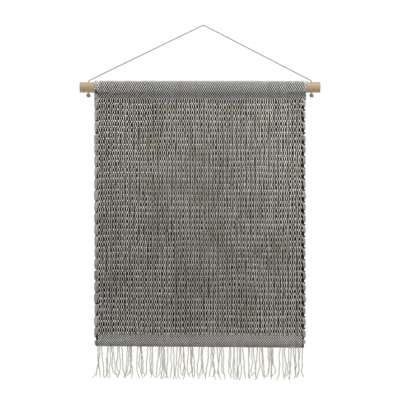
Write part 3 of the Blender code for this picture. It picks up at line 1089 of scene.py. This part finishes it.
layBodyPart(
    "LowerFold", 20, 14, ["cloth_middle", "cloth_lower"], foldLower,
    ("panel_lower", "selvedge_left_lower", "selvedge_right_lower"))
layBodyPart("Lower", 34, 7, ["cloth_lower"], lastTurn=1)
print("body woven")


# The pocket: one length of band, from the turned-in edge behind, over the dowel, to the seam in front
pocket = {
    "layer": 0.00175,
    "clearance": 0.0003,
    "depth": 0.0254,  # from the dowel's axis to where the two layers meet
    "strip": 0.0067,
    "pick": 0.0044,
    "warps": 185,
    "leftMargin": 0.0095,
    "rightMargin": 0.0032,
    "arcPoints": 40,
}


def layBand(name, path, picks, pick, seed, **sizes):
    # A dense plain weave: every warp crosses at every pick. The sizes are the warps' and the wefts'
    warps = layYarns(
        name + "Warps", "warps", path, finishes[name + "Warp"], Row=pick * 2, Plateau=4.5,
        Crossing=0.0018, Jitter=0.0002, Sides=5, Depth=0.0016, **sizes["warps"],
    )
    wefts = layYarns(
        name + "Wefts", "wefts", path, finishes["bandWeft"], Picks=picks, Step=pick, Points=weave["warps"],
        Pitch=sizes["warps"]["Pitch"], Ripple=0.0003, Wander=0.0003, Slub=0.08, Sides=8, Seed=seed,
        **sizes["wefts"],
    )
    return warps, wefts


def sleevePath():
    radius = (dowelHigh.z - dowelLow.z) / 2 + pocket["clearance"] + pocket["layer"]
    lean = math.asin(radius / pocket["depth"])
    stripTop = bodyTop + pocket["strip"]
    points = [Vector((0.0, pocket["layer"], z)) for z in (bodyTop, stripTop)]
    for i in range(pocket["arcPoints"] + 1):
        turn = -lean + (math.pi + 2 * lean) * i / pocket["arcPoints"]
        points.append(Vector((0.0, radius * math.cos(turn), dowelAxisZ + radius * math.sin(turn))))
    return points + [Vector((0.0, -pocket["layer"], z)) for z in (stripTop, bodyTop)]


sleeve = sleevePath()
sleeveLength = lengthOf(sleeve)
sleevePicks = round(sleeveLength / pocket["pick"])
sleevePick = sleeveLength / sleevePicks
pocketLeft = clothLeft + pocket["leftMargin"]
pocketPitch = (clothRight - pocket["rightMargin"] - pocketLeft) / (pocket["warps"] - 1)
pocketWarps, pocketWefts = layBand(
    "pocket", sleeve, sleevePicks, sleevePick, 41,
    warps={
        "Warps": pocket["warps"], "Left": pocketLeft, "Pitch": pocketPitch, "Seed": 7,
        "Points": sleevePicks * 4 + 1, "RowStart": -sleevePick * 0.5, "Wander": 0.0005, "Slub": 0.16, "Width": 0.0021,
    },
    wefts={
        "First": sleevePick * 0.5, "Left": clothLeft + 0.0035, "Right": clothRight - 0.0020,
        "Width": 0.0058, "Depth": 0.0022,
    },
)
roll = sleeve[:-2]  # the turns stop where the pocket leaves the dowel in front
rollTurns = int(lengthOf(roll) / sleevePick)
pocketTurns = joined("pocketSelvedges", [
    layYarns(
        "turns", "turns", roll, finishes["selvedgeYarn"], Turns=rollTurns, First=sleevePick * 0.5,
        Step=sleevePick, Edge=edge, Inside=inside, Tall=sleevePick * 0.85,
        RoundFrom=dowelAxisZ - 0.004, RoundTall=0.020, Rounding=rounding,
        Square=7.0, Points=13, Uneven=0.12, Sides=8, Width=wide, Depth=0.0026, Seed=43,
    )
    for edge, inside, rounding, wide in (
        (clothLeft + 0.0015, 0.0100, 0.0050, 0.0026), (clothLeft + 0.0041, 0.0074, 0.0050, 0.0026),
        (clothRight - 0.0003, -0.0040, -0.0010, 0.0022),
    )
] + [
    layYarns(
        "turns", "turns", sleeve[-3:], finishes["selvedgeYarn"], Turns=1, First=0.0112, Step=0.02,
        Edge=clothLeft + selvedge["edge"] + inset, Inside=selvedge["left"]["inside"] - inset, Tall=tall,
        Square=12.0, Points=selvedge["points"], Uneven=0.2, Sides=selvedge["sides"], Width=0.0032,
        Depth=0.0030, Seed=71,
    )
    for inset, tall in ((0.0, 0.0245), (0.0024, 0.0240), (0.0050, 0.0230))
])
stitchY = (stitchLow.y + stitchHigh.y) / 2
stitchZ = (stitchLow.z + stitchHigh.z) / 2
pocketStitches = layYarns(
    "pocketStitches", "stitches",
    [(stitchLow.x + 0.002, stitchY, stitchZ), (stitchHigh.x - 0.002, stitchY, stitchZ)],
    finishes["sewingThread"], Step=0.0062, Long=0.0046, Lift=0.0011, Sides=6, Width=0.0010, Depth=0.0010,
)
mount(pocketWarps, "cloth_upper", "band_weave")
mount(pocketWefts, "cloth_upper", "band_weave", "rod_pocket")
mount(pocketTurns, "cloth_upper", "selvedge_yarn")
mount(pocketStitches, "cloth_upper", "sewing_thread", "pocket_stitching")
print("pocket woven")


# The hem band
hem = {"picks": 9, "foot": 0.0018, "edge": 0.0050}
hemPath = [(0.0, 0.0, hemTop), (0.0, 0.0, hemBottom)]
hemPick = (hemTop - hemBottom - hem["foot"]) / (hem["picks"] - 1)
hemWarps, hemWefts = layBand(
    "hem", hemPath, hem["picks"], hemPick, 53,
    warps={**allWarps, "Points": hem["picks"] * 5 + 1, "Wander": 0.0006, "Slub": 0.18, "Width": 0.0020},
    wefts={
        "Left": clothLeft + hem["edge"], "Right": clothRight - hem["edge"], "Width": 0.0042, "Depth": 0.0020,
    },
)
hemTurns = laySelvedges("hemSelvedges", hemPath, hemPick * 6.4, hemPick * 4.3, 1, 57, 0.5, -hemPick * 1.8)
mount(hemWarps, "cloth_lower", "band_weave")
mount(hemWefts, "cloth_lower", "band_weave", "hem_band")
mount(hemTurns, "cloth_lower", "selvedge_yarn")
print("hem woven")


# The fringe
fringe = {
    "yarns": 62, "left": 0.0055, "margins": 0.0145,
    "behind": 24, "behindLeft": 0.006, "behindMargins": 0.0155, "behindBy": 0.0016,
}
fringeTop = hemBottom + 0.0004
fringePath = [(0.0, 0.0, fringeTop), (0.0, 0.0, fringeBottom)]
fringeCommon = {
    "Length": fringeTop - fringeBottom, "Points": 46, "Sway": 0.0050, "Kink": 0.0075,
    "Uneven": 0.16, "Lead": 0.0065, "Lobe": 0.12, "Sides": 10, "Width": 0.0030, "Depth": 0.0030,
}
fringePitch = (clothWidth - fringe["margins"]) / (fringe["yarns"] - 1)
behindPitch = (clothWidth - fringe["behindMargins"]) / (fringe["behind"] - 1)
fringeYarns = joined("fringeYarns", [
    layYarns(
        "yarns", "fringe", fringePath, finishes["fringeCream"], **fringeCommon,
        Yarns=fringe["yarns"], Left=clothLeft + fringe["left"], Pitch=fringePitch,
        Bunch=0.55, Back=0.0010, Seed=61,
    ),
    layYarns(
        "behind", "fringe", [(x, fringe["behindBy"], z) for x, y, z in fringePath], finishes["fringeCream"],
        **fringeCommon, Yarns=fringe["behind"], Left=clothLeft + fringe["behindLeft"], Pitch=behindPitch,
        Bunch=0.2, Back=0.0008, Seed=67,
    ),
])
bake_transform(fringeYarns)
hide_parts(*[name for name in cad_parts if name.startswith("fringe_")])
print("fringe hung")
